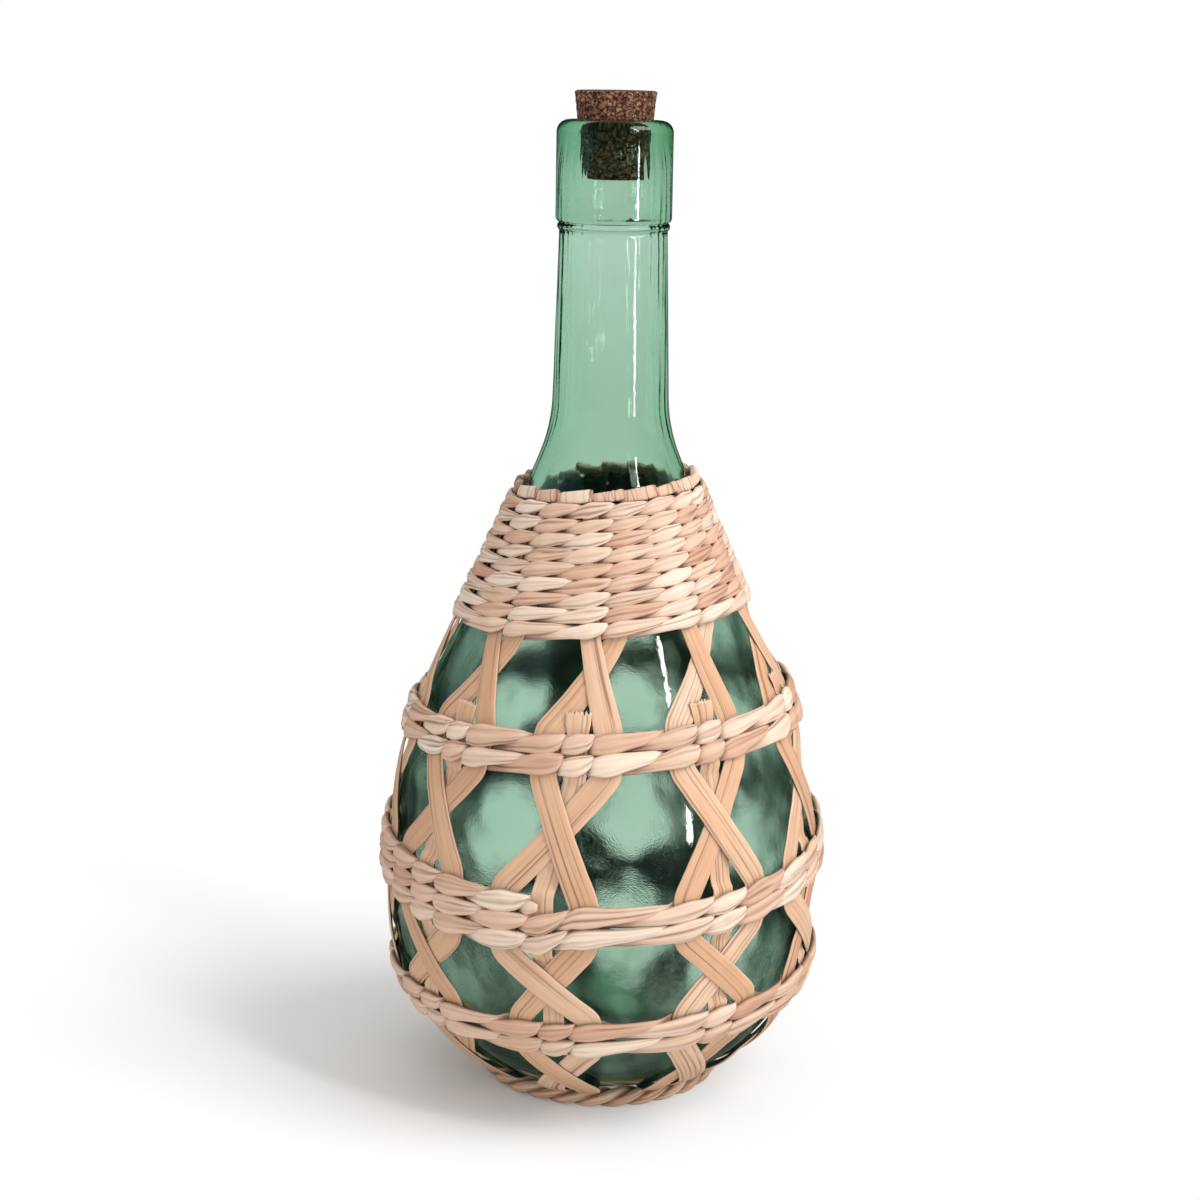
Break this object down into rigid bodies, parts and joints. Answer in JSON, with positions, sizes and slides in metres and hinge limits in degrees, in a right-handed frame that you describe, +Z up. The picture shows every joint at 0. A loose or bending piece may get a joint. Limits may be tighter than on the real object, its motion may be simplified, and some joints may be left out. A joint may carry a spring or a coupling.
{
  "type": "wicker-covered bottle",
  "caption": "Round-bodied green glass bottle with a long neck and a tapered cork, in an open cage of crossing flat leaf strips held by twined bands and a twined collar.",
  "frame": {"origin": "centre of the foot ring's underside, on the bottle's axis", "axes": "+Z up along the bottle's axis, -Y towards the pictured side, +X to that side's right"},
  "size_m": [0.1623, 0.1622, 0.36],
  "materials": {
    "green_glass": "blown, clear, gloss",
    "pressed_cork": "pressed cork granules, matte",
    "flat_leaf": "dried flat leaf, satin",
    "twined_leaf": "dried twisted leaf, satin",
    "plaited_leaf": "dried plaited leaf, satin"
  },
  "bodies": {
    "bottle": {"glass_bottle": "green_glass", "stake_1_left": "flat_leaf", "stake_1_right": "flat_leaf", "stake_2_left": "flat_leaf", "stake_2_right": "flat_leaf", "stake_3_left": "flat_leaf", "stake_3_right": "flat_leaf", "stake_4_left": "flat_leaf", "stake_4_right": "flat_leaf", "stake_5_left": "flat_leaf", "stake_5_right": "flat_leaf", "stake_6_left": "flat_leaf", "stake_6_right": "flat_leaf", "stake_7_left": "flat_leaf", "stake_7_right": "flat_leaf", "stake_8_left": "flat_leaf", "stake_8_right": "flat_leaf", "stake_9_left": "flat_leaf", "stake_9_right": "flat_leaf", "inner_stakes": "flat_leaf", "collar_row_1": "twined_leaf", "collar_row_2": "twined_leaf", "collar_row_3": "twined_leaf", "collar_row_4": "twined_leaf", "collar_row_5": "twined_leaf", "collar_row_6": "twined_leaf", "collar_row_7": "twined_leaf", "collar_row_8": "twined_leaf", "collar_row_9": "twined_leaf", "band_1_row_1": "twined_leaf", "band_1_row_2": "twined_leaf", "band_2_row_1": "twined_leaf", "band_2_row_2": "twined_leaf", "band_3_row_1": "twined_leaf", "band_3_row_2": "twined_leaf", "band_2_row_3": "twined_leaf", "rim_border": "twined_leaf", "foot_ring": "plaited_leaf"},
    "cork": {"cork_stopper": "pressed_cork"}
  },
  "joints": [
    {"name": "cork_pull", "type": "slide", "parent": "bottle", "child": "cork", "axis": [0, 0, 1], "range_m": [0, 0.06]}
  ]
}
